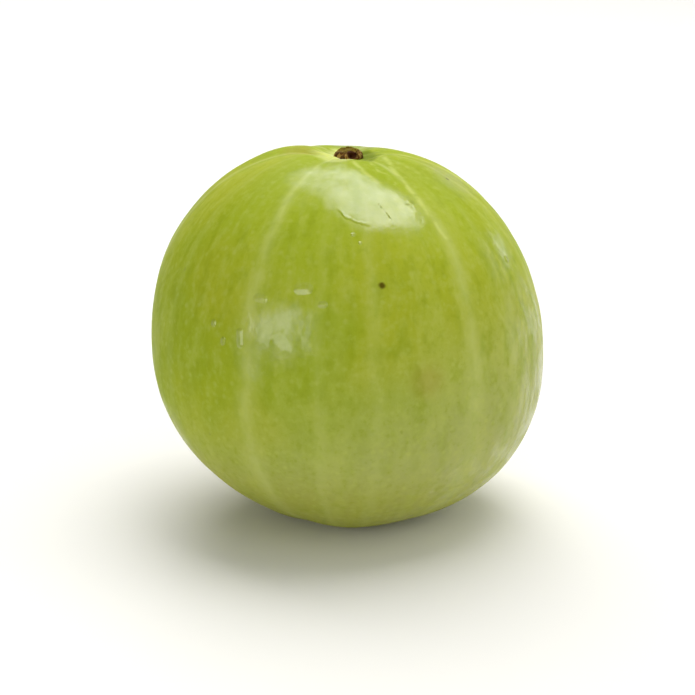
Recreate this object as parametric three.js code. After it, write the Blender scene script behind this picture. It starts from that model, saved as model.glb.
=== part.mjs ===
// An Indian gooseberry (amla): a round berry, faintly lobed into six segments, that rests on a
// small flat spot, with the dried stub of its stalk in the shallow pit on top.
// Millimetres, +Z up, front towards -Y. The origin is at the bottom centre of the whole object.

import * as THREE from "three";

// Size and profile of the berry. Heights are measured from its widest level.
const WIDTH = 36;
const CROWN_RISE = 18.7;
const BASE_DROP = 15.7;
const CROWN_FULLNESS = 2.24; // superellipse exponent: 2 is a plain ellipse, more is squarer
const BASE_FULLNESS = 2.14;

// Uneven growth: each half leans by this share of its radius, to opposite sides. The lean fades
// out over a distance from the flat spots.
const CROWN_LEAN = 0.018;
const CROWN_LEAN_FADE = 3;
const BASE_LEAN = 0.033;
const BASE_LEAN_FADE = 7;

// The flat spot that the berry rests on, and how far it lies off the axis.
const REST_RADIUS = 3.4;
const REST_OFFSET_X = -0.6;
const REST_OFFSET_Y = -0.8;
const REST_OFFSET_SHARPNESS = 10; // the higher, the closer to the base the offset stays

// The pit around the stalk.
const PIT_DEPTH = 1.0;
const PIT_RADIUS = 3.2;
const PIT_FLOOR_RADIUS = 1.9;

// Six segments swell between the furrows, most of all round the pit and the base.
const FURROW_AZIMUTHS = [-30, 40, 100, 160, 215, 270]; // degrees from the front towards +X
const FLANK_SWELL = 0.1;
const CROWN_SWELLS = [0.12, 0.12, -0.1, -0.2, 0.15, 0.12]; // one for the segment after each furrow
const BASE_SWELL = 0.08;
const SWELL_RING_RADIUS = 6.5;
const SWELL_RING_WIDTH = 4.5;
const SWELL_FADE = 2.5; // distance over which the swelling starts outside the flat spots

// The dried stalk stub: a squat, crumpled button.
const STUB_WIDTH = 2.9;
const STUB_HEIGHT = 1.15;
const STUB_OFFSET_X = 0.3;
const STUB_FOLDS = [
  { count: 3, depth: 0.09, turn: 0.4 },
  { count: 5, depth: 0.06, turn: 1.9 },
];

// Facets.
const SKIN_COLUMNS = 72;
const CROWN_ROWS = 18;
const BASE_ROWS = 16;
const STUB_COLUMNS = 24;

const HALF_WIDTH = WIDTH / 2;

const skinMaterial = new THREE.MeshStandardMaterial({
  name: "fruit_skin",
  color: new THREE.Color(0x98a236),
  roughness: 0.3,
  metalness: 0,
});

const stubMaterial = new THREE.MeshStandardMaterial({
  name: "dry_stalk",
  color: new THREE.Color(0x6b4a26),
  roughness: 0.85,
  metalness: 0,
});

// Height of a half of the berry above its widest level, at a distance from the axis.
function superellipseHeight(radius, rise, fullness) {
  return rise * (1 - (radius / HALF_WIDTH) ** fullness) ** (1 / fullness);
}

function crownHeight(radius) {
  const pit = PIT_DEPTH * Math.exp(-((radius / PIT_RADIUS) ** 2));
  return superellipseHeight(radius, CROWN_RISE, CROWN_FULLNESS) - pit;
}

function baseHeight(radius) {
  return -superellipseHeight(radius, BASE_DROP, BASE_FULLNESS);
}

const PIT_FLOOR_HEIGHT = crownHeight(0);
const REST_HEIGHT = baseHeight(REST_RADIUS);

// Distances from the axis, from a flat spot's rim out to the widest level, closer together there.
function rowRadii(rimRadius, rows) {
  const rimAngle = Math.asin(rimRadius / HALF_WIDTH);
  const radii = [];
  for (let row = 0; row <= rows; row += 1) {
    const angle = THREE.MathUtils.lerp(rimAngle, Math.PI / 2, row / rows);
    radii.push(HALF_WIDTH * Math.sin(angle));
  }
  return radii;
}

// The profile runs from the middle of the rest spot, up the side, to the middle of the pit.
function berryProfile() {
  const baseRadii = rowRadii(REST_RADIUS, BASE_ROWS);
  const crownRadii = rowRadii(PIT_FLOOR_RADIUS, CROWN_ROWS).reverse().slice(1);
  const side = [
    ...baseRadii.map((radius) => new THREE.Vector2(radius, baseHeight(radius))),
    ...crownRadii.map((radius) => new THREE.Vector2(radius, crownHeight(radius))),
  ];
  side[side.length - 1].y = PIT_FLOOR_HEIGHT;
  return [new THREE.Vector2(0, REST_HEIGHT), ...side, new THREE.Vector2(0, PIT_FLOOR_HEIGHT)];
}

// The segment at an azimuth, and its roundness there: 0 in a furrow and 1 half way between two.
function segmentAt(azimuth) {
  const first = FURROW_AZIMUTHS[0];
  const turned = first + THREE.MathUtils.euclideanModulo(azimuth - first, 360);
  const furrows = [...FURROW_AZIMUTHS, first + 360];
  const next = furrows.findIndex((furrow) => furrow > turned);
  const share = (turned - furrows[next - 1]) / (furrows[next] - furrows[next - 1]);
  return { segment: next - 1, roundness: Math.sin(Math.PI * share) ** 2 };
}

// Moves a point of the turned berry to where uneven growth puts it.
function grow(point) {
  const isCrown = point.z > 0;
  const radius = Math.hypot(point.x, point.y);
  const distance = point.length();
  const azimuth = THREE.MathUtils.radToDeg(Math.atan2(point.x, -point.y));
  const flatRadius = isCrown ? PIT_FLOOR_RADIUS : REST_RADIUS;

  const { segment, roundness } = segmentAt(azimuth);
  const ring = Math.exp(-(((radius - SWELL_RING_RADIUS) / SWELL_RING_WIDTH) ** 2));
  const swellHeight = FLANK_SWELL + (isCrown ? CROWN_SWELLS[segment] : BASE_SWELL) * ring;
  const swellFade = THREE.MathUtils.smoothstep(radius, flatRadius, flatRadius + SWELL_FADE);
  const swell = roundness * swellHeight * swellFade;

  const leanRim = flatRadius + (isCrown ? CROWN_LEAN_FADE : BASE_LEAN_FADE);
  const leanFade = THREE.MathUtils.smoothstep(radius, flatRadius, leanRim);
  const lean = (isCrown ? CROWN_LEAN : BASE_LEAN) * leanFade;
  const slant = (2 * point.z * point.x) / distance ** 2;
  const lowness = THREE.MathUtils.clamp(point.z / REST_HEIGHT, 0, 1) ** REST_OFFSET_SHARPNESS;

  point.multiplyScalar(1 + swell / distance - lean * slant);
  point.x += REST_OFFSET_X * lowness;
  point.y += REST_OFFSET_Y * lowness;
}

function bend(geometry, move) {
  const position = geometry.attributes.position;
  const point = new THREE.Vector3();
  for (let index = 0; index < position.count; index += 1) {
    point.fromBufferAttribute(position, index);
    move(point);
    position.setXYZ(index, point.x, point.y, point.z);
  }
  geometry.computeVertexNormals();
}

// A profile turned about the vertical axis, with column 0 at the front.
function turned(profile, columns) {
  const geometry = new THREE.LatheGeometry(profile, columns);
  geometry.rotateX(Math.PI / 2);
  return geometry;
}

function makeFruit() {
  const geometry = turned(berryProfile(), SKIN_COLUMNS);
  bend(geometry, grow);
  const fruit = new THREE.Mesh(geometry, skinMaterial);
  fruit.name = "fruit";
  return fruit;
}

// Squeezes the stub's round section into uneven folds.
function crumple(point) {
  const azimuth = Math.atan2(point.x, -point.y);
  let scale = 1;
  for (const fold of STUB_FOLDS) {
    scale += fold.depth * Math.sin(fold.count * azimuth + fold.turn);
  }
  point.x *= scale;
  point.y *= scale;
}

function makeStalkStub() {
  const half = STUB_WIDTH / 2;
  const profile = [
    new THREE.Vector2(0, 0),
    new THREE.Vector2(half * 0.82, 0),
    new THREE.Vector2(half, STUB_HEIGHT * 0.4),
    new THREE.Vector2(half * 0.92, STUB_HEIGHT * 0.8),
    new THREE.Vector2(half * 0.6, STUB_HEIGHT),
    new THREE.Vector2(0, STUB_HEIGHT * 0.75),
  ];
  const geometry = turned(profile, STUB_COLUMNS);
  bend(geometry, crumple);
  const stub = new THREE.Mesh(geometry, stubMaterial);
  stub.name = "stalk_stub";
  stub.position.set(STUB_OFFSET_X, 0, PIT_FLOOR_HEIGHT);
  return stub;
}

const gooseberry = new THREE.Group();
gooseberry.name = "indian_gooseberry";
gooseberry.add(makeFruit(), makeStalkStub());

// Stand the object on the origin.
const box = new THREE.Box3().setFromObject(gooseberry, true);
const middle = box.getCenter(new THREE.Vector3());
gooseberry.position.set(-middle.x, -middle.y, -box.min.z);

export default gooseberry;
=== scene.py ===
"""An Indian gooseberry (amla) on a pale floor: the wet, waxy, faintly translucent fruit with the
pale lines of its segments, and the dried, crumpled stub of its stalk in the pit on top.

Lengths are millimetres on the fruit and metres in the scene. Azimuths are degrees from the front
(-Y) towards +X, and elevations are degrees above the fruit's widest level, seen from its middle.
"""

import math
from functools import reduce

import bpy
import numpy as np
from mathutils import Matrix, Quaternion, Vector, noise


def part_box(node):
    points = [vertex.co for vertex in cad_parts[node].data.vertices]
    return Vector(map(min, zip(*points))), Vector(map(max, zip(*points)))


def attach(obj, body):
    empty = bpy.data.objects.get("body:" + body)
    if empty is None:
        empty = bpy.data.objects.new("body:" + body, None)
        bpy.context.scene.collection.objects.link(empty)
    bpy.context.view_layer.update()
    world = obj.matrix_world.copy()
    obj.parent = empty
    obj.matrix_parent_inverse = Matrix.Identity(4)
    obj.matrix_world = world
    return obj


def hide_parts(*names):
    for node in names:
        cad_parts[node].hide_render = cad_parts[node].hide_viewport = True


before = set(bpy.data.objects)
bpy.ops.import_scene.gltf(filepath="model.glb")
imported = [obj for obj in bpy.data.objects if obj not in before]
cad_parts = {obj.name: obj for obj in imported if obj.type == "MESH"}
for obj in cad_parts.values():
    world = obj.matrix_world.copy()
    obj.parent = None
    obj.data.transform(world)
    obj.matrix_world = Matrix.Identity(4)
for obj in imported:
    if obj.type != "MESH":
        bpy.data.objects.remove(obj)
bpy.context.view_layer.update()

MM = 0.001

# The fruit's profile and growth, as in the CAD part.
HALF_WIDTH = 18.0
CROWN_RISE, CROWN_FULLNESS = 18.7, 2.24
BASE_DROP, BASE_FULLNESS = 15.7, 2.14
CROWN_LEAN, CROWN_LEAN_FADE = 0.018, 3.0
BASE_LEAN, BASE_LEAN_FADE = 0.033, 7.0
REST_RADIUS = 3.4
REST_OFFSET = (-0.6, -0.8)
REST_OFFSET_SHARPNESS = 10
PIT_DEPTH, PIT_RADIUS, PIT_FLOOR_RADIUS = 1.0, 3.2, 1.9
FLANK_SWELL, BASE_SWELL = 0.1, 0.08
CROWN_SWELLS = (0.12, 0.12, -0.1, -0.2, 0.15, 0.12)  # one for the segment after each furrow
SWELL_RING_RADIUS, SWELL_RING_WIDTH, SWELL_FADE = 6.5, 4.5, 2.5

# Fine relief of the skin.
FURROWS = (-28.5, 38.0, 98.0, 158.0, 216.0, 273.0)  # set closer to the photo than the CAD part's
GROOVE_DEPTH, GROOVE_WIDTH = 0.035, 0.9
GROOVE_START = (0.8, 1.6)  # in radii of the pit's floor or of the rest spot
STEM_GROOVE_DEPTH, STEM_GROOVE_REACH = 0.07, 6.0
UNDULATION = ((9.0, 0.09), (3.2, 0.022), (1.3, 0.006))  # wavelengths and heights
UNDULATION_FADE = 3.0  # distance over which it starts outside the rest spot
PIT_FOLD_COUNT, PIT_FOLD_DEPTH = 9, 0.10
PIT_FOLD_RING, PIT_FOLD_RING_WIDTH = 2.3, 0.9
PIT_FOLD_WAVELENGTH, PIT_FOLD_WOBBLE = 2.5, 2.0
PIT_LUMPS = (  # azimuth, distance from the axis, radius, height
    (-42.0, 2.3, 0.95, 0.24),
    (-92.0, 2.5, 0.80, 0.14),
    (-11.0, 3.2, 0.65, 0.15),
    (48.0, 2.0, 0.75, -0.12),
    (22.0, 3.6, 0.60, 0.07),
    (66.0, 3.8, 0.70, 0.06),
)
REST_RIM_SOFTNESS = 0.04
TIP_SCAR_DEPTH, TIP_SCAR_RADIUS = 0.25, 0.9

COLUMNS = 320
BASE_ROWS = 90
CROWN_ROWS = 110
BASE_CROWDING, CROWN_CROWDING = 1.1, 1.25  # the higher, the closer the rows near the axis

# The dried stalk stub. Each lobe's azimuth, its foot's distance from the axis, its slopes at the
# foot and the tip (0 lies outwards, 90 stands, 180 lies inwards), length, half width, thickness.
LOBES = (
    (-82.0, 1.16, 88.0, 172.0, 1.30, 0.44, 0.20),
    (-44.0, 1.18, 86.0, 166.0, 1.10, 0.22, 0.18),
    (-14.0, 1.16, 84.0, 160.0, 1.05, 0.24, 0.18),
    (56.0, 1.14, 66.0, 150.0, 1.20, 0.26, 0.18),
    (88.0, 1.16, 78.0, 164.0, 1.30, 0.30, 0.18),
    (132.0, 1.10, 88.0, 166.0, 1.50, 0.44, 0.20),
    (-174.0, 1.06, 92.0, 168.0, 1.60, 0.46, 0.20),
    (-130.0, 1.12, 90.0, 166.0, 1.46, 0.42, 0.20),
)
LOBE_STEPS, LOBE_SPANS = 16, 8  # points along a lobe and across it
LOBE_FULLNESS, LOBE_BLUNTNESS, LOBE_TIP_WIDTH = 2.4, 0.7, 0.03
LOBE_THINNING = 0.5  # share of its thickness that a lobe loses towards its tip
LOBE_CUPPING = 0.3
CORE = (  # the profile of the broken core: distances from the axis and heights
    (0.0, -0.2),
    (1.20, -0.2),
    (1.22, 0.16),
    (1.10, 0.54),
    (0.84, 0.84),
    (0.46, 1.02),
    (0.0, 1.08),
)
CORE_COLUMNS = 48
HOLLOW_AZIMUTH, HOLLOW_OUT, HOLLOW_HEIGHT = 20.0, 1.00, 0.52
HOLLOW_RADIUS, HOLLOW_DEPTH = 0.36, 0.55
STUB_ROOT = 0.15  # how deep it is sunk in the pit
STUB_INSET = (0.04, 0.20)  # how far its left and right sides lie inside the CAD node's box
STUB_VOXEL = 0.035
STUB_SMOOTHING = 3
STUB_LUMPS = ((0.45, 0.060), (0.15, 0.022))  # wavelengths and heights
FIBRE_COUNT, FIBRE_DEPTH = 19, 0.025
FIBRE_WAVELENGTH, FIBRE_WOBBLE = 0.7, 3.0

# Noise of the shapes: its height, how far each seed moves it, and the seeds. Every row of
# UNDULATION and STUB_LUMPS takes the next seed.
NOISE_GAIN = 1.6
SEED_STEP = (17.3, 5.1, -9.7)
UNDULATION_SEED, PIT_FOLD_SEED, STUB_LUMP_SEED, FIBRE_SEED = 1, 8, 11, 14


def smoothstep(value, low, high):
    share = np.clip((value - low) / (high - low), 0.0, 1.0)
    return share * share * (3.0 - 2.0 * share)


def bell(value, middle, width):
    return np.exp(-(((value - middle) / width) ** 2))


def direction(azimuth, elevation):
    """The unit vector that points to an azimuth and an elevation."""
    turn, rise = math.radians(azimuth), math.radians(elevation)
    flat = math.cos(rise)
    return Vector((math.sin(turn) * flat, -math.cos(turn) * flat, math.sin(rise)))


def smooth_noise(points, wavelength, seed):
    """Noise from about -1 to 1 at each point."""
    shift = Vector([seed * step for step in SEED_STEP])
    values = [noise.noise(Vector(point) / wavelength + shift) for point in points]
    return NOISE_GAIN * np.array(values)


# ---------------------------------------------------------------- the fruit's surface


def superellipse(radius, rise, fullness):
    inside = np.clip(1.0 - (radius / HALF_WIDTH) ** fullness, 0.0, 1.0)
    return rise * inside ** (1.0 / fullness)


def crown_height(radius):
    pit = PIT_DEPTH * np.exp(-((radius / PIT_RADIUS) ** 2))
    return superellipse(radius, CROWN_RISE, CROWN_FULLNESS) - pit


REST_HEIGHT = -float(superellipse(REST_RADIUS, BASE_DROP, BASE_FULLNESS))


def base_height(radius):
    """The base, flat where it rests and rounded into its flank."""
    gap = -superellipse(radius, BASE_DROP, BASE_FULLNESS) - REST_HEIGHT
    return REST_HEIGHT + 0.5 * (gap + np.sqrt(gap * gap + REST_RIM_SOFTNESS**2))


def segment_at(azimuth):
    """Degrees to the nearest furrow, the segment's roundness there (0 in a furrow, 1 half way
    between two) and the swelling of its crown."""
    edges = np.array((*FURROWS, FURROWS[0] + 360.0))
    turned = edges[0] + np.mod(azimuth - edges[0], 360.0)
    after = np.clip(np.searchsorted(edges, turned, side="right"), 1, len(edges) - 1)
    past, ahead = turned - edges[after - 1], edges[after] - turned
    roundness = np.sin(math.pi * past / (past + ahead)) ** 2
    return np.minimum(past, ahead), roundness, np.array(CROWN_SWELLS)[after - 1]


def skin_relief(points, radius, azimuth, crown):
    """How far the skin stands out of the plain turned profile at each point."""
    flat = np.where(crown, PIT_FLOOR_RADIUS, REST_RADIUS)
    gap, roundness, crown_swell = segment_at(azimuth)
    ring = bell(radius, SWELL_RING_RADIUS, SWELL_RING_WIDTH)
    swell = FLANK_SWELL + np.where(crown, crown_swell, BASE_SWELL) * ring
    relief = roundness * swell * smoothstep(radius, flat, flat + SWELL_FADE)

    stem = crown * np.exp(-((radius / STEM_GROOVE_REACH) ** 2))
    groove = GROOVE_DEPTH + STEM_GROOVE_DEPTH * stem
    groove *= bell(np.radians(gap) * radius, 0.0, GROOVE_WIDTH)
    start, full = GROOVE_START
    relief -= groove * smoothstep(radius, start * flat, full * flat)

    outside = smoothstep(radius, REST_RADIUS, REST_RADIUS + UNDULATION_FADE)
    off_rest = np.where(crown, 1.0, outside)
    for seed, (wavelength, height) in enumerate(UNDULATION, UNDULATION_SEED):
        relief += height * smooth_noise(points, wavelength, seed) * off_rest

    wobble = PIT_FOLD_WOBBLE * smooth_noise(points, PIT_FOLD_WAVELENGTH, PIT_FOLD_SEED)
    folds = np.sin(np.radians(azimuth) * PIT_FOLD_COUNT + wobble)
    relief += PIT_FOLD_DEPTH * folds * bell(radius, PIT_FOLD_RING, PIT_FOLD_RING_WIDTH) * crown
    for turn, out, size, height in PIT_LUMPS:
        lump = direction(turn, 0.0) * out
        gap = np.hypot(points[:, 0] - lump.x, points[:, 1] - lump.y)
        relief += height * bell(gap, 0.0, size) * crown
    relief -= TIP_SCAR_DEPTH * bell(radius, 0.0, TIP_SCAR_RADIUS) * ~crown
    return relief


def grow(points):
    """Moves the points of the turned profile to where uneven growth puts them."""
    x, y, z = points.T
    crown = z > 0
    radius = np.hypot(x, y)
    distance = np.linalg.norm(points, axis=1)
    azimuth = np.degrees(np.arctan2(x, -y))
    relief = skin_relief(points, radius, azimuth, crown)

    flat = np.where(crown, PIT_FLOOR_RADIUS, REST_RADIUS)
    fade = np.where(crown, CROWN_LEAN_FADE, BASE_LEAN_FADE)
    lean = np.where(crown, CROWN_LEAN, BASE_LEAN) * smoothstep(radius, flat, flat + fade)
    slant = 2.0 * z * x / distance**2
    low = np.clip(z / REST_HEIGHT, 0.0, 1.0) ** REST_OFFSET_SHARPNESS
    moved = points * (1.0 + relief / distance - lean * slant)[:, None]
    moved[:, 0] += REST_OFFSET[0] * low
    moved[:, 1] += REST_OFFSET[1] * low
    return moved


def profile_rows():
    """Distances from the axis and heights, from the middle of the base to that of the pit."""
    base_angles = np.linspace(0.0, 1.0, BASE_ROWS + 1) ** BASE_CROWDING * math.pi / 2
    crown_angles = np.linspace(0.0, 1.0, CROWN_ROWS + 1) ** CROWN_CROWDING * math.pi / 2
    base = HALF_WIDTH * np.sin(base_angles)
    crown = HALF_WIDTH * np.sin(crown_angles[-2::-1])
    radius = np.concatenate((base, crown))
    height = np.concatenate((base_height(base), crown_height(crown)))
    return radius, height


def turned_points(radius, height, columns):
    """Points of a profile turned about the axis, with single points at its two ends."""
    azimuths = np.linspace(0.0, 2.0 * math.pi, columns, endpoint=False)
    points = [(0.0, 0.0, height[0])]
    for ring_radius, ring_height in zip(radius[1:-1], height[1:-1]):
        for azimuth in azimuths:
            x, y = ring_radius * math.sin(azimuth), -ring_radius * math.cos(azimuth)
            points.append((x, y, ring_height))
    points.append((0.0, 0.0, height[-1]))
    return np.array(points)


def turned_faces(rows, columns):
    """Faces of the grid that turned_points makes, with their fronts out."""
    last = 1 + (rows - 2) * columns
    faces = []
    for column in range(columns):
        after = (column + 1) % columns
        faces.append((0, 1 + after, 1 + column))
        faces.append((last, last - columns + column, last - columns + after))
        for row in range(rows - 3):
            low = 1 + row * columns
            high = low + columns
            faces.append((low + column, low + after, high + after, high + column))
    return faces


def seat(points, low, high):
    """Fits points to the box from low to high, and gives where their zero goes."""
    own_low, own_high = points.min(axis=0), points.max(axis=0)
    scale = (np.array(high) - np.array(low)) / (own_high - own_low)
    return np.array(low) + (points - own_low) * scale, np.array(low) - own_low * scale


def mesh_piece(name, points, faces):
    mesh = bpy.data.meshes.new(name)
    mesh.from_pydata([tuple(point) for point in points], [], faces)
    mesh.polygons.foreach_set("use_smooth", [True] * len(faces))
    mesh.update()
    piece = bpy.data.objects.new(name, mesh)
    bpy.context.scene.collection.objects.link(piece)
    return piece


def make_fruit():
    radius, height = profile_rows()
    points = grow(turned_points(radius, height, COLUMNS))
    seated, middle = seat(points, *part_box("fruit"))
    return mesh_piece("amla_skin", seated, turned_faces(len(radius), COLUMNS)), Vector(middle)


# ---------------------------------------------------------------- the dried stalk stub


def lobe_points(azimuth, foot, low_slope, high_slope, length, half_width, thickness):
    """Two layers of points along a lobe that rises from its foot, curls over and narrows."""
    slopes = np.radians(np.linspace(low_slope, high_slope, LOBE_STEPS))
    shares = np.linspace(0.0, 1.0, LOBE_STEPS)
    step = length / (LOBE_STEPS - 1)
    out = foot + step * np.cumsum(np.cos(slopes))
    up = step * np.cumsum(np.sin(slopes))
    turn = math.radians(azimuth)
    outward = np.array((math.sin(turn), -math.cos(turn), 0.0))
    across = np.array((math.cos(turn), math.sin(turn), 0.0))
    upward = np.array((0.0, 0.0, 1.0))
    points = []
    for side in (-0.5, 0.5):
        for index, share in enumerate(shares):
            narrowing = (1.0 - share**LOBE_FULLNESS) ** LOBE_BLUNTNESS
            width = half_width * narrowing + LOBE_TIP_WIDTH
            thinning = 1.0 - LOBE_THINNING * share
            facing = math.sin(slopes[index]) * outward - math.cos(slopes[index]) * upward
            for span in np.linspace(-1.0, 1.0, LOBE_SPANS):
                lift = side * thickness * thinning - LOBE_CUPPING * width * span * span
                point = out[index] * outward + up[index] * upward
                points.append(point + across * width * span + facing * lift)
    return points


def lobe_faces(start):
    """Faces that close a lobe's two layers, whose points begin at start."""
    layer = LOBE_STEPS * LOBE_SPANS
    faces = []
    for step in range(LOBE_STEPS - 1):
        for span in range(LOBE_SPANS - 1):
            corner = start + step * LOBE_SPANS + span
            quad = (corner, corner + 1, corner + LOBE_SPANS + 1, corner + LOBE_SPANS)
            faces.append(quad[::-1])
            faces.append(tuple(index + layer for index in quad))
    rim = [start + span for span in range(LOBE_SPANS)]
    rim += [start + step * LOBE_SPANS + LOBE_SPANS - 1 for step in range(1, LOBE_STEPS)]
    rim += [start + layer - 1 - span for span in range(1, LOBE_SPANS)]
    rim += [start + step * LOBE_SPANS for step in range(LOBE_STEPS - 2, 0, -1)]
    for first, second in zip(rim, rim[1:] + rim[:1]):
        faces.append((first, second, second + layer, first + layer))
    return faces


def merged(points, faces):
    """The points, normals and faces of one skin round all the bodies given."""
    rough = mesh_piece("rough_stub", points, faces)
    remesh = rough.modifiers.new("skin", "REMESH")
    remesh.mode = "VOXEL"
    remesh.voxel_size = STUB_VOXEL
    soften = rough.modifiers.new("soften", "SMOOTH")
    soften.iterations = STUB_SMOOTHING
    skin = rough.evaluated_get(bpy.context.evaluated_depsgraph_get()).to_mesh()
    points = np.array([vertex.co for vertex in skin.vertices])
    normals = np.array([normal.vector for normal in skin.vertex_normals])
    faces = [tuple(polygon.vertices) for polygon in skin.polygons]
    mesh = rough.data
    bpy.data.objects.remove(rough)
    bpy.data.meshes.remove(mesh)
    return points, normals, faces


def hollow_middle():
    side = direction(HOLLOW_AZIMUTH, 0.0) * HOLLOW_OUT
    return (side.x, side.y, HOLLOW_HEIGHT)


def make_stub():
    radius, height = np.array(CORE).T
    points = list(turned_points(radius, height, CORE_COLUMNS))
    faces = turned_faces(len(CORE), CORE_COLUMNS)
    for lobe in LOBES:
        faces += lobe_faces(len(points))
        points += lobe_points(*lobe)
    points, normals, faces = merged(points, faces)

    relief = np.zeros(len(points))
    for seed, (wavelength, size) in enumerate(STUB_LUMPS, STUB_LUMP_SEED):
        relief += size * smooth_noise(points, wavelength, seed)
    azimuth = np.arctan2(points[:, 0], -points[:, 1])
    wobble = FIBRE_WOBBLE * smooth_noise(points, FIBRE_WAVELENGTH, FIBRE_SEED)
    relief += FIBRE_DEPTH * np.sin(FIBRE_COUNT * azimuth + wobble)
    gap = np.linalg.norm(points - np.array(hollow_middle()), axis=1)
    relief -= HOLLOW_DEPTH * bell(gap, 0.0, HOLLOW_RADIUS)
    points = points + normals * relief[:, None]

    low, high = (np.array(corner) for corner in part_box("stalk_stub"))
    low += np.array((STUB_INSET[0], 0.0, -STUB_ROOT)) * MM
    high -= np.array((STUB_INSET[1], 0.0, 0.0)) * MM
    seated, middle = seat(points, low, high)
    return mesh_piece("dried_stalk", seated, faces), Vector(middle)


# ---------------------------------------------------------------- shaders


class Shader:
    """A material's nodes, written as expressions: a call adds a node and gives its output."""

    def __init__(self, name):
        self.material = bpy.data.materials.new(name)
        self.material.use_nodes = True
        self.nodes = self.material.node_tree.nodes
        self.links = self.material.node_tree.links
        self.surface = self.nodes["Principled BSDF"]

    def feed(self, socket, value):
        if isinstance(value, bpy.types.NodeSocket):
            self.links.new(value, socket)
        else:
            socket.default_value = value

    def node(self, kind, output, inputs, **settings):
        node = self.nodes.new(kind)
        for name, value in settings.items():
            setattr(node, name, value)
        for key, value in inputs.items():
            self.feed(node.inputs[key], value)
        return node.outputs[output]

    def surface_input(self, name, value):
        self.feed(self.surface.inputs[name], value)

    def math(self, operation, first, second=0.0):
        return self.node("ShaderNodeMath", 0, {0: first, 1: second}, operation=operation)

    def add(self, first, second):
        return self.math("ADD", first, second)

    def times(self, first, second):
        return self.math("MULTIPLY", first, second)

    def largest(self, *values):
        return reduce(lambda first, second: self.math("MAXIMUM", first, second), values)

    def smallest(self, *values):
        return reduce(lambda first, second: self.math("MINIMUM", first, second), values)

    def vector(self, operation, first, second=(0.0, 0.0, 0.0), output=0):
        inputs = {0: first, 1: second}
        return self.node("ShaderNodeVectorMath", output, inputs, operation=operation)

    def measure(self, operation, first, second=(0.0, 0.0, 0.0)):
        """A vector operation whose result is a number."""
        return self.vector(operation, first, second, output=1)

    def scaled(self, vector, factor):
        inputs = {0: vector, "Scale": factor}
        return self.node("ShaderNodeVectorMath", 0, inputs, operation="SCALE")

    def split(self, vector):
        node = self.nodes.new("ShaderNodeSeparateXYZ")
        self.feed(node.inputs[0], vector)
        return node.outputs

    def join(self, x, y, z):
        return self.node("ShaderNodeCombineXYZ", 0, {0: x, 1: y, 2: z})

    def from_middle(self, middle):
        """Where a point is from a piece's middle, in millimetres."""
        at = self.node("ShaderNodeTexCoord", "Object", {})
        return self.scaled(self.vector("SUBTRACT", at, tuple(middle)), 1.0 / MM)

    def noise(self, vector, wavelength, detail=2.0, roughness=0.5):
        inputs = {
            "Vector": vector,
            "Scale": 1.0 / wavelength,
            "Detail": detail,
            "Roughness": roughness,
        }
        return self.node("ShaderNodeTexNoise", 0, inputs)

    def grain(self, vector, low, high, least=0.0, most=1.0, **kind):
        """Noise that fades from least, where it is low, to most, where it is high."""
        return self.fade(self.noise(vector, **kind), low, high, least, most)

    def noise_vector(self, vector, wavelength, reach):
        """Noise that moves a pattern by up to about reach."""
        inputs = {"Vector": vector, "Scale": 1.0 / wavelength, "Detail": 2.0}
        colour = self.node("ShaderNodeTexNoise", 1, inputs)
        return self.scaled(self.vector("SUBTRACT", colour, (0.5, 0.5, 0.5)), 2.0 * reach)

    def cells(self, vector, size):
        """Distance to the nearest of scattered points, and that point's random number."""
        node = self.nodes.new("ShaderNodeTexVoronoi")
        self.feed(node.inputs["Vector"], vector)
        node.inputs["Scale"].default_value = 1.0 / size
        return node.outputs["Distance"], self.split(node.outputs["Color"])[0]

    def fade(self, value, low, high, from_value=0.0, to_value=1.0):
        """Goes smoothly from from_value at low to to_value at high."""
        inputs = {0: value, 1: low, 2: high, 3: from_value, 4: to_value}
        return self.node("ShaderNodeMapRange", 0, inputs, interpolation_type="SMOOTHSTEP")

    def colour(self, factor, first, second):
        """Goes from the first colour at 0 to the second at 1."""
        pair = [(*c, 1.0) if isinstance(c, tuple) else c for c in (first, second)]
        inputs = {0: factor, 6: pair[0], 7: pair[1]}
        return self.node("ShaderNodeMix", 2, inputs, data_type="RGBA")

    def ramp(self, value, stops):
        """Goes smoothly through the levels of the stops, each a position and a level."""
        node = self.nodes.new("ShaderNodeValToRGB")
        self.feed(node.inputs[0], value)
        ramp = node.color_ramp
        ramp.interpolation = "EASE"
        while len(ramp.elements) < len(stops):
            ramp.elements.new(0.5)
        for element, (position, level) in zip(ramp.elements, stops):
            element.position = position
            element.color = (level, level, level, 1.0)
        return node.outputs[0]

    def bump(self, height):
        """The normal of a surface that stands out by a height in millimetres."""
        inputs = {"Strength": 1.0, "Distance": MM, "Height": height}
        return self.node("ShaderNodeBump", 0, inputs)


# ---------------------------------------------------------------- the fruit's material

SKIN_GREEN = (0.280, 0.352, 0.016)
SKIN_YELLOW = (0.335, 0.376, 0.022)
# paler, greyer skin low down: a painted reflection of the floor
LOW_FLOOR_SHEEN = (0.358, 0.383, 0.118)
# darker, less blue skin at the base: painted shade
BASE_SHADE = (0.335, 0.355, 0.058)
SKIN_PALE = (0.460, 0.500, 0.110)
SKIN_DEEP = (0.215, 0.290, 0.006)
# pale skin of the lip, folds and seams, also the painted highlight on the lip
PALE_SKIN_AND_HIGHLIGHT = (0.640, 0.680, 0.200)
LINE_COLOUR = (0.520, 0.560, 0.180)
# painted shade in the pit beside the stub, and the painted shadows of its folds
PIT_SHADE_COLOUR = (0.120, 0.165, 0.004)
FAINT_COLOUR = (0.250, 0.300, 0.050)
# paler skin, and painted light round the highlight
PALE_AND_LIT_COLOUR = (0.410, 0.470, 0.030)
SPECK_COLOUR = (0.085, 0.062, 0.002)
STAIN_COLOUR = (0.330, 0.210, 0.050)
SCAR_COLOUR = (0.110, 0.060, 0.020)

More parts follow.
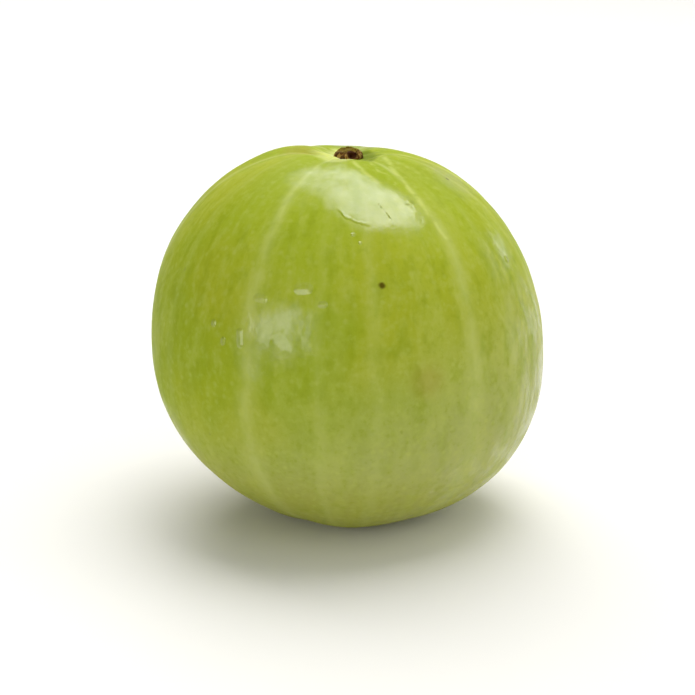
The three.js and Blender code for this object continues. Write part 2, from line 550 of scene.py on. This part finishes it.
# Noise that bends a pattern: its wavelength and reach.
STRAND_BEND = (4.0, 0.7)
WAVY_BEND = (1.3, 0.35)
ROUGH_BEND = (0.5, 0.12)
FILM_BENDS = ((2.6, 0.8), (1.0, 0.35))

# Ground tones, with a painted floor reflection low down and painted shade at the base. Fades go
# from one height, or distance from the axis, to another.
TONE = dict(wavelength=12.0, low=0.38, high=0.64)
# Painted reflection of the floor on the lower skin, climbing higher on the right, which is
# painted paler as the lit side.
FLOOR_SHEEN_FADE = (6.0, -11.0)
FLOOR_SHEEN_SLOPE = 0.4  # how far it climbs on the right side, which is the paler one
# Painted shade at the base.
BASE_SHADE_FADE = (-5.0, -11.5)

# Streaks and mottling. A strand's stretch is how fast its pattern changes upwards, where 1 is as
# fast as around the fruit.
LONG_STRETCH, SHORT_STRETCH = 0.22, 0.5
BROAD_STREAKS = dict(wavelength=2.6, low=0.45, high=0.72, most=0.20)
FINE_STREAKS = dict(wavelength=1.0, detail=3.0, roughness=0.6, low=0.44, high=0.72, most=0.24)
DEEP_STREAKS = dict(wavelength=1.5, detail=3.0, low=0.46, high=0.72, most=0.45)
DEEP_STREAKS_SHIFT = (31.0, 0.0, 0.0)
STREAKS_OUTWARDS = (7.0, 15.0, 0.10, 1.0)
STREAKS_DOWNWARDS = (4.0, -8.0, 1.0, 0.45)
PALE_MOTTLE = dict(wavelength=0.65, detail=3.0, roughness=0.6, low=0.50, high=0.70, most=0.19)
DEEP_MOTTLE = dict(wavelength=0.65, detail=3.0, roughness=0.6, low=0.48, high=0.30, most=0.27)
FLECK_SPACING, FLECK_STRENGTH = 0.75, 0.26
FLECK_EDGE = (0.10, 0.45, 1.0, 0.0)
FLECK_CHOICE = (0.2, 0.9)

# The pale lines of the segments: half widths in degrees, and strengths.
MINOR_LINES = (-60.0, -8.0, 8.0, 55.0, 76.0, 120.0, 139.0, 187.0, 244.0)
LINE_WOBBLE = dict(wavelength=7.0, detail=1.0)
LINE_WOBBLE_REACH = 0.012  # in turns
GLOW_HALF_WIDTH, GLOW_STRENGTH = 6.0, 0.30
CORE_HALF_WIDTH, CORE_STRENGTH = 2.6, 0.16
MINOR_HALF_WIDTH, MINOR_STRENGTH = 3.0, 0.16
LINE_BREAKS = dict(wavelength=4.0, detail=3.0, low=0.32, high=0.62, least=0.45)
SEAM_FADE = (11.0, 15.5, 0.0, 0.4)
FOLD_BREAKS = dict(wavelength=1.3, low=0.38, high=0.58, least=0.15)
FOLD_STRENGTH = 0.40
PALE_FOLDS = (  # each one's path and half width
    (
        ((64.0, 79.0), (40.0, 69.0), (37.8, 62.1), (36.9, 56.0), (36.3, 51.0), (38.6, 43.6)),
        0.40,
    ),
    (((8.0, 76.0), (13.7, 69.0), (19.5, 64.4)), 0.40),
    (((28.0, 77.0), (27.0, 70.0), (30.0, 64.0)), 0.36),
)

# The stem end and the tip: ragged discs round the axis, each with its noise's wavelength and
# reach and its fade from the axis outwards, and the sides that they show on.
# The pale lip is pale skin and partly a painted highlight, shown on its left side only.
LIP_AND_HIGHLIGHT_EDGE, LIP_AND_HIGHLIGHT_FADE = (1.6, 2.4), (2.8, 5.0, 0.85, 0.0)
LIP_AND_HIGHLIGHT_SIDE = (1.8, 0.2)
# Painted shade: a ring in the pit, on the right of the stub.
PIT_SHADE_EDGE, PIT_SHADE_FADE = (1.2, 1.2), (2.8, 4.0, 0.75, 0.0)
PIT_SHADE_SIDE = (0.1, 0.9)
SCAR_EDGE, SCAR_FADE = (0.5, 0.8), (0.9, 1.5, 0.8, 0.0)
CROWN_SIDE, TIP_SIDE = (0.0, 4.0), (0.0, -4.0)
# Painted shadows of the folds in the pit, right of the stub.
FOLD_SHADOWS = ((((14.0, 79.2), (26.0, 78.8), (40.0, 79.6), (60.0, 81.0)), 0.50),)
FOLD_SHADOW_STRENGTH = 0.7

# Round marks: each one's azimuth, elevation, radius and strength. The softness of a group is the
# share of the radius over which its marks fade to either side of their edge.
# Paler skin; the two on the front are painted light spread round the highlight.
PALE_AND_LIT_AREAS = (
    (-16.0, 44.0, 6.0, 0.34),
    (32.0, 48.0, 4.5, 0.40),
    (150.0, 48.0, 6.0, 0.30),
    (-130.0, 20.0, 6.0, 0.25),
)
# Painted highlights on the lip, left of the stub.
LIP_HIGHLIGHT_SPOTS = ((-11.0, 79.6, 0.8, 0.65), (-24.0, 80.0, 0.7, 0.45), (-40.0, 80.5, 0.7, 0.4))
STAINS = (
    (22.5, 5.7, 1.3, 0.22),
    (-95.0, 77.0, 1.4, 0.3),
    (118.0, -22.0, 1.8, 0.25),
    (-160.0, 30.0, 2.0, 0.2),
)
SPECKS = (
    (10.6, 31.9, 0.27, 0.95),
    (73.1, 60.4, 0.17, 0.8),
    (-112.0, 24.0, 0.22, 0.9),
    (-149.0, -12.0, 0.16, 0.8),
    (131.0, 12.0, 0.20, 0.9),
    (134.0, 13.5, 0.12, 0.8),
    (166.0, 44.0, 0.18, 0.8),
)
FAINT_SPECKS = (
    (32.0, 55.8, 0.20, 0.8),
    (28.7, 55.3, 0.17, 0.7),
    (80.0, 52.0, 0.18, 0.7),
    (-60.0, 30.0, 0.15, 0.6),
    (15.0, -8.0, 0.15, 0.6),
    (-44.0, -14.0, 0.14, 0.5),
    (102.0, -30.0, 0.20, 0.7),
    (-170.0, 10.0, 0.22, 0.7),
)
PALE_AND_LIT_SOFTNESS, LIP_HIGHLIGHT_SOFTNESS, STAIN_SOFTNESS = 0.7, 0.7, 0.8
SPECK_SOFTNESS, FAINT_SOFTNESS = 0.5, 0.7

SCRATCH = (((14.6, 55.9), (16.0, 53.4), (18.0, 50.8)), 0.09)
SCRATCH_BREAKS = dict(wavelength=0.5, low=0.40, high=0.55, least=0.2)
SCRATCH_STRENGTH, SCRATCH_DEPTH = 0.4, 0.035

# Water: patches of film, the raised edge of one of them, and droplets.
WET_PATCHES = (
    (-30.0, 65.5, 1.4, 0.35),
    (-22.0, 66.5, 1.8, 0.48),
    (-11.0, 66.0, 2.1, 0.50),
    (0.0, 63.5, 2.4, 0.62),
    (1.0, 59.5, 2.0, 0.80),
    (8.0, 58.0, 2.7, 0.95),
    (15.0, 55.5, 2.8, 1.0),
    (22.0, 54.0, 2.4, 1.0),
    (27.0, 53.0, 1.8, 0.90),
    (12.0, 52.5, 2.0, 0.75),
    (20.0, 50.5, 2.0, 0.60),
    (-12.0, 75.5, 1.3, 0.35),
    (-10.0, 79.5, 0.8, 0.5),
    (-24.0, 55.0, 2.2, 0.15),
    (34.0, 49.0, 3.2, 0.30),
    (65.5, 36.8, 1.0, 0.55),
    (75.0, 60.0, 2.6, 0.6),
    (112.0, 40.0, 3.4, 0.65),
    (146.0, 39.0, 3.6, 0.7),
    (168.0, 75.0, 2.2, 0.6),
    (206.0, 42.0, 3.8, 0.7),
    (-117.0, 43.0, 3.8, 0.7),
    (98.0, 22.0, 3.0, 0.5),
    (130.0, -18.0, 4.5, 0.5),
    (200.0, 6.0, 4.0, 0.45),
    (-70.0, -20.0, 3.0, 0.4),
)
STREAKED_PATCHES = (
    (-27.0, 17.5, 2.2, 1.0),
    (-19.0, 19.5, 2.8, 1.0),
    (-14.0, 22.0, 1.6, 0.9),
    (-26.0, 9.0, 1.5, 0.8),
    (66.0, 14.0, 4.4, 0.9),
    (70.0, -8.0, 5.0, 0.9),
    (58.0, -28.0, 4.5, 1.0),
    (60.0, 34.0, 2.6, 0.8),
    (40.0, -32.0, 4.5, 0.9),
    (20.0, -40.0, 4.0, 0.7),
    (-8.0, -40.0, 3.5, 0.4),
)
WET_SOFTNESS, STREAKED_SOFTNESS = 0.6, 0.5
WET_GRAIN = dict(wavelength=1.5, detail=3.0, roughness=0.6, low=0.34, high=0.64, least=0.70)
STREAKED_GRAIN = dict(wavelength=0.9, detail=3.0, low=0.38, high=0.62, least=0.28, most=0.68)
UPRIGHT = (1.0, 1.0, 0.25)  # stretches a pattern upwards
RIM_MIDDLE, RIM_RADIUS = (13.0, 60.5), 3.55
RIM_SHOWN, RIM_SOFTNESS = (2.8, 51.6, 1.3, 1.0), 0.3
RIM_HALF_WIDTH, RIM_HEIGHT = 0.32, 0.06
DROPLETS = (  # the path that each lies along, and its radius
    (((-14.4, 30.8), (-12.0, 31.0)), 0.56),
    (((-27.4, 27.5), (-25.2, 27.4)), 0.42),
    (((-7.4, 26.9), (-6.6, 27.0)), 0.34),
    (((-31.2, 14.6), (-31.6, 18.0)), 0.36),
    (((-40.9, 18.6), (-40.9, 19.2)), 0.30),
    (((-19.2, 16.2), (-18.2, 14.6)), 0.95),
    (((63.7, 32.7),), 0.42),
    (((2.0, 46.0),), 0.24),
    (((4.5, 43.5),), 0.18),
    (((-37.0, 14.2), (-36.9, 15.2)), 0.26),
    (((124.0, 20.0), (126.0, 20.5)), 0.42),
    (((-96.0, 18.0),), 0.40),
    (((188.0, 28.0),), 0.46),
    (((191.0, 31.0),), 0.26),
    (((-130.0, -6.0),), 0.34),
)
DROP_HEIGHT, DROP_STEEPNESS = 0.10, 0.4  # the greatest height, and that of small drops by radius
DROP_EDGE, DROP_WETNESS = 0.3, 0.65

# The skin's surface.
COAT_ROUGHNESS, COAT_IOR = 0.14, 1.7
SKIN_ROUGHNESS = dict(wavelength=2.0, detail=3.0, low=0.3, high=0.7, least=0.36, most=0.48)
SKIN_IOR = 1.08
FLESH_WEIGHT, FLESH_RADIUS, FLESH_SCALE = 0.6, (1.0, 0.85, 0.25), 2.5 * MM
FINE_BUMPS = (0.5, 0.010)  # wavelength and height
BROAD_BUMPS = (1.3, 0.030)


class SkinPlace:
    """Where a point is on the fruit, in millimetres from its middle, as shader outputs.

    out is its distance from the axis, turn its share of a full turn round the axis that starts at
    the back, and sphere the point put out onto a sphere. The others are patterns made from those:
    drawn out into strands or bent by noise.
    """

    def __init__(self, s, middle):
        place = s.from_middle(middle)
        self.sphere = s.scaled(s.vector("NORMALIZE", place), HALF_WIDTH)
        self.x, y, self.height = s.split(place)
        level = s.join(self.x, y, 0.0)
        self.out = s.measure("LENGTH", level)

        # The share of a full turn that starts at the back.
        around = s.math("ARCTAN2", self.x, s.times(y, -1.0))
        turn = s.add(s.times(around, 0.5 / math.pi), 0.5)
        wobble = s.math("SUBTRACT", s.noise(self.sphere, **LINE_WOBBLE), 0.5)
        self.turn = s.add(turn, s.times(wobble, LINE_WOBBLE_REACH))

        ring = s.scaled(s.vector("NORMALIZE", level), HALF_WIDTH)
        ring = s.vector("ADD", ring, s.noise_vector(self.sphere, *STRAND_BEND))
        self.long_strands = self.strands(s, ring, LONG_STRETCH)
        self.short_strands = self.strands(s, ring, SHORT_STRETCH)

        self.wavy = self.bent(s, WAVY_BEND)
        self.rough = self.bent(s, ROUGH_BEND)
        self.wandering = self.bent(s, *FILM_BENDS)

    def strands(self, s, ring, stretch):
        return s.vector("ADD", ring, s.join(0.0, 0.0, s.times(self.height, stretch)))

    def bent(self, s, *bends):
        pattern = self.sphere
        for bend in bends:
            pattern = s.vector("ADD", pattern, s.noise_vector(self.sphere, *bend))
        return pattern


def meridians(s, turn, azimuths, half_width):
    """1 on each meridian, falling to 0 at half_width degrees to either side."""
    stops = []
    for azimuth in sorted((a + 180.0) % 360.0 for a in azimuths):
        stops += [((azimuth - half_width) / 360.0, 0.0), (azimuth / 360.0, 1.0)]
        stops += [((azimuth + half_width) / 360.0, 0.0)]
    return s.ramp(turn, stops)


def spots(s, sphere, marks, softness):
    """Each round mark's strength in its middle, falling to 0 at its edge."""
    found = []
    for azimuth, elevation, radius, strength in marks:
        gap = s.measure("DISTANCE", sphere, tuple(direction(azimuth, elevation) * HALF_WIDTH))
        inner, outer = radius * (1.0 - softness), radius * (1.0 + softness)
        found.append(s.fade(gap, inner, outer, strength, 0.0))
    return s.largest(*found)


def path_gap(s, sphere, path):
    """Distance to a point or to a path of points over the fruit."""
    ends = [direction(*end) * HALF_WIDTH for end in path]
    if len(ends) == 1:
        return s.measure("DISTANCE", sphere, tuple(ends[0]))
    gaps = []
    for first, second in zip(ends, ends[1:]):
        span = second - first
        reach = s.vector("SUBTRACT", sphere, tuple(first))
        along = s.measure("DOT_PRODUCT", reach, tuple(span))
        share = s.times(along, 1.0 / span.length_squared)
        share = s.smallest(s.largest(share, 0.0), 1.0)
        gaps.append(s.measure("DISTANCE", reach, s.scaled(tuple(span), share)))
    return s.smallest(*gaps)


def strokes(s, sphere, marks):
    """1 along each mark's path, falling to 0 at its half width to either side."""
    gaps = [(path_gap(s, sphere, path), half_width) for path, half_width in marks]
    return s.largest(*(s.fade(gap, 0.0, half_width, 1.0, 0.0) for gap, half_width in gaps))


def ragged_disc(s, at, pattern, edge, fade):
    """A disc round the axis whose edge is moved by noise."""
    wavelength, reach = edge
    return s.fade(s.add(at.out, s.times(s.noise(pattern, wavelength), reach)), *fade)


def droplets(s, at):
    """How wet the droplets make the skin, and how high they stand."""
    domes, rises = [], []
    for path, radius in DROPLETS:
        share = s.times(path_gap(s, at.sphere, path), 1.0 / radius)
        dome = s.largest(s.math("SUBTRACT", 1.0, s.times(share, share)), 0.0)
        domes.append(dome)
        rises.append(s.times(s.times(dome, dome), min(DROP_STEEPNESS * radius, DROP_HEIGHT)))
    wet = s.fade(s.largest(*domes), 0.0, DROP_EDGE, 0.0, DROP_WETNESS)
    return wet, s.largest(*rises)


def ground_colour(s, at):
    base = s.colour(s.grain(at.sphere, **TONE), SKIN_GREEN, SKIN_YELLOW)
    # Painted reflection of the floor low down, higher on the right as painted light.
    sheen_level = s.math("SUBTRACT", at.height, s.times(at.x, FLOOR_SHEEN_SLOPE))
    base = s.colour(s.fade(sheen_level, *FLOOR_SHEEN_FADE), base, LOW_FLOOR_SHEEN)
    # Painted shade at the base.
    base = s.colour(s.fade(at.height, *BASE_SHADE_FADE), base, BASE_SHADE)
    # Paler skin, and painted light round the highlight.
    base = s.colour(spots(s, at.sphere, PALE_AND_LIT_AREAS, PALE_AND_LIT_SOFTNESS), base, PALE_AND_LIT_COLOUR)

    base = s.colour(s.grain(at.long_strands, **BROAD_STREAKS), base, SKIN_PALE)
    shown = s.times(s.fade(at.out, *STREAKS_OUTWARDS), s.fade(at.height, *STREAKS_DOWNWARDS))
    fine = s.grain(at.short_strands, **FINE_STREAKS)
    base = s.colour(s.times(fine, shown), base, SKIN_PALE)
    deep = s.grain(s.vector("ADD", at.short_strands, DEEP_STREAKS_SHIFT), **DEEP_STREAKS)
    base = s.colour(s.times(deep, shown), base, SKIN_DEEP)

    base = s.colour(s.grain(at.sphere, **PALE_MOTTLE), base, SKIN_PALE)
    return s.colour(s.grain(at.sphere, **DEEP_MOTTLE), base, SKIN_DEEP)


def with_lines(s, at, base):
    """Adds the pale lines between the segments, the folds round the pit and the pale flecks."""
    glow = meridians(s, at.turn, FURROWS, GLOW_HALF_WIDTH)
    core = meridians(s, at.turn, FURROWS, CORE_HALF_WIDTH)
    minor = meridians(s, at.turn, MINOR_LINES, MINOR_HALF_WIDTH)
    lines = s.add(s.times(glow, GLOW_STRENGTH), s.times(core, CORE_STRENGTH))
    lines = s.largest(lines, s.times(minor, MINOR_STRENGTH))
    base = s.colour(s.times(lines, s.grain(at.sphere, **LINE_BREAKS)), base, LINE_COLOUR)

    seams = s.times(core, s.fade(at.height, *SEAM_FADE))
    folds = s.largest(strokes(s, at.wavy, PALE_FOLDS), seams)
    folds = s.times(folds, s.grain(at.sphere, **FOLD_BREAKS))
    base = s.colour(s.times(folds, FOLD_STRENGTH), base, PALE_SKIN_AND_HIGHLIGHT)

    gap, pick = s.cells(at.sphere, FLECK_SPACING)
    flecks = s.times(s.fade(gap, *FLECK_EDGE), s.fade(pick, *FLECK_CHOICE))
    return s.colour(s.times(flecks, FLECK_STRENGTH), base, SKIN_PALE)


def with_ends(s, at, base):
    """Adds the pale lip, which is partly a painted highlight, painted highlight spots on it,
    painted shade and painted fold shadows in the pit, and the scar at the tip.
    """
    crown = s.fade(at.height, *CROWN_SIDE)
    # Pale lip, partly a painted highlight.
    lip = ragged_disc(s, at, at.short_strands, LIP_AND_HIGHLIGHT_EDGE, LIP_AND_HIGHLIGHT_FADE)
    lip = s.times(s.times(lip, crown), s.fade(at.x, *LIP_AND_HIGHLIGHT_SIDE))
    base = s.colour(lip, base, PALE_SKIN_AND_HIGHLIGHT)
    # Painted shade in the pit, on the right of the stub.
    pit_shade = ragged_disc(s, at, at.sphere, PIT_SHADE_EDGE, PIT_SHADE_FADE)
    pit_shade = s.times(s.times(pit_shade, s.fade(at.x, *PIT_SHADE_SIDE)), crown)
    base = s.colour(pit_shade, base, PIT_SHADE_COLOUR)
    # Painted shadows of the folds in the pit.
    fold_shadow = s.times(strokes(s, at.sphere, FOLD_SHADOWS), FOLD_SHADOW_STRENGTH)
    base = s.colour(fold_shadow, base, PIT_SHADE_COLOUR)
    # Painted highlight spots on the lip.
    base = s.colour(spots(s, at.wavy, LIP_HIGHLIGHT_SPOTS, LIP_HIGHLIGHT_SOFTNESS), base, PALE_SKIN_AND_HIGHLIGHT)
    scar = ragged_disc(s, at, at.sphere, SCAR_EDGE, SCAR_FADE)
    return s.colour(s.times(scar, s.fade(at.height, *TIP_SIDE)), base, SCAR_COLOUR)


def wetness(s, at, drops, rim, dry):
    """How wet the skin is: film, drops and the film's rim, and no film where it is dry."""
    film = spots(s, at.wandering, WET_PATCHES, WET_SOFTNESS)
    film = s.times(film, s.grain(at.sphere, **WET_GRAIN))
    streaks = s.grain(s.vector("MULTIPLY", at.sphere, UPRIGHT), **STREAKED_GRAIN)
    streaked = s.times(spots(s, at.wandering, STREAKED_PATCHES, STREAKED_SOFTNESS), streaks)
    film = s.times(s.largest(film, streaked), s.math("SUBTRACT", 1.0, dry))
    return s.fade(s.largest(film, drops, rim), 0.0, 1.0)


def film_rim(s, at):
    """The raised edge of the film, 1 along its arc."""
    gap = s.measure("DISTANCE", at.wandering, tuple(direction(*RIM_MIDDLE) * HALF_WIDTH))
    off_arc = s.math("ABSOLUTE", s.math("SUBTRACT", gap, RIM_RADIUS))
    shown = spots(s, at.sphere, (RIM_SHOWN,), RIM_SOFTNESS)
    return s.times(s.fade(off_arc, 0.0, RIM_HALF_WIDTH, 1.0, 0.0), shown)


def bumps(s, pattern, kind):
    wavelength, height = kind
    return s.times(s.noise(pattern, wavelength), height)


def skin_material(middle):
    s = Shader("amla_skin")
    at = SkinPlace(s, middle)

    base = with_ends(s, at, with_lines(s, at, ground_colour(s, at)))
    base = s.colour(spots(s, at.rough, STAINS, STAIN_SOFTNESS), base, STAIN_COLOUR)
    faint = spots(s, at.rough, FAINT_SPECKS, FAINT_SOFTNESS)
    base = s.colour(faint, base, FAINT_COLOUR)
    base = s.colour(spots(s, at.rough, SPECKS, SPECK_SOFTNESS), base, SPECK_COLOUR)
    scratch = s.times(strokes(s, at.rough, (SCRATCH,)), s.grain(at.sphere, **SCRATCH_BREAKS))
    base = s.colour(s.times(scratch, SCRATCH_STRENGTH), base, SPECK_COLOUR)
    s.surface_input("Base Color", base)

    drops, drop_height = droplets(s, at)
    rim = film_rim(s, at)
    s.surface_input("Coat Weight", wetness(s, at, drops, rim, faint))
    s.surface_input("Coat Roughness", COAT_ROUGHNESS)
    s.surface_input("Coat IOR", COAT_IOR)
    s.surface_input("Roughness", s.grain(at.sphere, **SKIN_ROUGHNESS))
    s.surface_input("IOR", SKIN_IOR)
    s.surface_input("Subsurface Weight", FLESH_WEIGHT)
    s.surface_input("Subsurface Radius", FLESH_RADIUS)
    s.surface_input("Subsurface Scale", FLESH_SCALE)

    relief = s.add(bumps(s, at.sphere, FINE_BUMPS), bumps(s, at.sphere, BROAD_BUMPS))
    relief = s.add(s.add(relief, drop_height), s.times(rim, RIM_HEIGHT))
    relief = s.math("SUBTRACT", relief, s.times(scratch, SCRATCH_DEPTH))
    bumped = s.bump(relief)
    s.surface_input("Normal", bumped)
    s.surface_input("Coat Normal", bumped)
    return s.material


# ---------------------------------------------------------------- the stub's material

STUB_BROWN = (0.066, 0.026, 0.003)
STUB_OLIVE = (0.165, 0.120, 0.003)
STUB_RED = (0.120, 0.030, 0.006)
STUB_TAN = (0.320, 0.200, 0.045)
# the dark red inside the broken core, painted darker as the shade in its hollow
HOLLOW_RED_AND_SHADE = (0.036, 0.006, 0.001)

TOP_BLOTCHES = dict(wavelength=0.5, detail=3.0, low=0.48, high=0.66)
RED_STRIPES = dict(wavelength=0.34, low=0.44, high=0.52)
TAN_STRIPES = dict(wavelength=0.34, low=0.48, high=0.56)
TOP_EDGE, TOP_FADE = (0.4, 0.4), (0.75, 1.05)
STUB_GRAIN, STUB_GRAIN_STRENGTH = dict(wavelength=0.10, low=0.42, high=0.7), 0.14
HOLLOW_EDGE, HOLLOW_SHADE_STRENGTH = 1.7, 0.95  # the edge is in radii of the hollow
STUB_ROUGHNESS = (0.55, 0.8)
STUB_SHINE = 0.05
STUB_BUMPS = (0.08, 0.012)  # wavelength and height


def stub_material(middle):
    s = Shader("dried_stalk")
    place = s.from_middle(middle)
    upright = s.vector("MULTIPLY", place, UPRIGHT)

    top = s.colour(s.grain(place, **TOP_BLOTCHES), STUB_OLIVE, STUB_BROWN)
    side = s.colour(s.grain(upright, **RED_STRIPES), STUB_BROWN, STUB_RED)
    side = s.colour(s.grain(upright, **TAN_STRIPES), side, STUB_TAN)
    wavelength, reach = TOP_EDGE
    level = s.add(s.split(place)[2], s.times(s.noise(place, wavelength), reach))
    base = s.colour(s.fade(level, *TOP_FADE), side, top)
    grain = s.grain(upright, **STUB_GRAIN)
    base = s.colour(s.times(grain, STUB_GRAIN_STRENGTH), base, STUB_TAN)
    # The hollow: the core's dark red, and painted shade inside it.
    gap = s.measure("DISTANCE", place, hollow_middle())
    edge = HOLLOW_EDGE * HOLLOW_RADIUS
    base = s.colour(s.fade(gap, HOLLOW_RADIUS, edge, HOLLOW_SHADE_STRENGTH, 0.0), base, HOLLOW_RED_AND_SHADE)
    s.surface_input("Base Color", base)
    s.surface_input("Roughness", s.fade(grain, 0.0, 1.0, *STUB_ROUGHNESS))
    s.surface_input("Specular IOR Level", STUB_SHINE)
    s.surface_input("Normal", s.bump(bumps(s, place, STUB_BUMPS)))
    return s.material


# ---------------------------------------------------------------- floor, lights and camera

FLOOR_SIZE = 4.0
FLOOR_COLOUR = (0.87, 0.85, 0.80, 1.0)
FLOOR_ROUGHNESS = 0.6

# Each softbox's name, azimuth, elevation, distance, size, radiance and spin in degrees.
SOFTBOXES = (
    ("key_softbox", 175.4, 66.5, 0.55, (0.40, 0.80), 3.6, 44.0),
    ("window", -32.0, 13.0, 0.60, (0.56, 0.24), 2.7, 0.0),
    ("front_fill", 42.0, 24.0, 0.80, (0.50, 0.50), 0.75, 0.0),
    ("rear_window", 134.0, 14.0, 0.60, (0.17, 0.10), 1.9, 0.0),
)
WORLD_COLOUR = (0.95, 0.97, 1.0, 1.0)
WORLD_FADE = (-0.9, 0.9, 0.17, 0.73)  # from left to right, and the world's strengths there

CAMERA_ELEVATION = 16.0
CAMERA_DISTANCE = 0.200
CAMERA_LENS = 112.0
CAMERA_CLIP_START = 0.01
AIM = Vector((0.0, 0.0, 0.0155))


def make_floor():
    half = FLOOR_SIZE / 2
    corners = [(-half, -half, 0.0), (half, -half, 0.0), (half, half, 0.0), (-half, half, 0.0)]
    floor = mesh_piece("floor", corners, [(0, 1, 2, 3)])
    s = Shader("pale_floor")
    s.surface_input("Base Color", FLOOR_COLOUR)
    s.surface_input("Roughness", FLOOR_ROUGHNESS)
    floor.data.materials.append(s.material)


def make_softbox(name, azimuth, elevation, distance, size, radiance, spin):
    """A rectangular light that faces the fruit."""
    light = bpy.data.lights.new(name, "AREA")
    light.shape = "RECTANGLE"
    light.size, light.size_y = size
    light.energy = radiance * math.pi * size[0] * size[1]
    lamp = bpy.data.objects.new(name, light)
    towards = direction(azimuth, elevation)
    lamp.location = towards * distance + AIM
    turned = towards.to_track_quat("Z", "Y") @ Quaternion((0.0, 0.0, 1.0), math.radians(spin))
    lamp.rotation_euler = turned.to_euler()
    bpy.context.scene.collection.objects.link(lamp)


def make_world():
    world = bpy.data.worlds.new("studio")
    world.use_nodes = True
    nodes, links = world.node_tree.nodes, world.node_tree.links
    at = nodes.new("ShaderNodeTexCoord")
    split = nodes.new("ShaderNodeSeparateXYZ")
    side = nodes.new("ShaderNodeMapRange")
    side.interpolation_type = "SMOOTHSTEP"
    for number, value in enumerate(WORLD_FADE, 1):
        side.inputs[number].default_value = value
    links.new(at.outputs["Generated"], split.inputs[0])
    links.new(split.outputs["X"], side.inputs[0])
    links.new(side.outputs[0], nodes["Background"].inputs["Strength"])
    nodes["Background"].inputs["Color"].default_value = WORLD_COLOUR
    bpy.context.scene.world = world


def light_scene():
    for softbox in SOFTBOXES:
        make_softbox(*softbox)
    make_world()
    bpy.context.scene.view_settings.view_transform = "Standard"


def place_camera():
    camera = bpy.data.cameras.new("camera")
    camera.lens = CAMERA_LENS
    camera.clip_start = CAMERA_CLIP_START
    eye = bpy.data.objects.new("camera", camera)
    towards = direction(0.0, CAMERA_ELEVATION)
    eye.location = towards * CAMERA_DISTANCE + AIM
    eye.rotation_euler = towards.to_track_quat("Z", "Y").to_euler()
    bpy.context.scene.collection.objects.link(eye)
    bpy.context.scene.camera = eye


fruit, fruit_middle = make_fruit()
fruit.data.materials.append(skin_material(fruit_middle))
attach(fruit, "root")
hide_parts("fruit")

stub, stub_middle = make_stub()
stub.data.materials.append(stub_material(stub_middle))
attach(stub, "root")
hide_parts("stalk_stub")

make_floor()
light_scene()
place_camera()
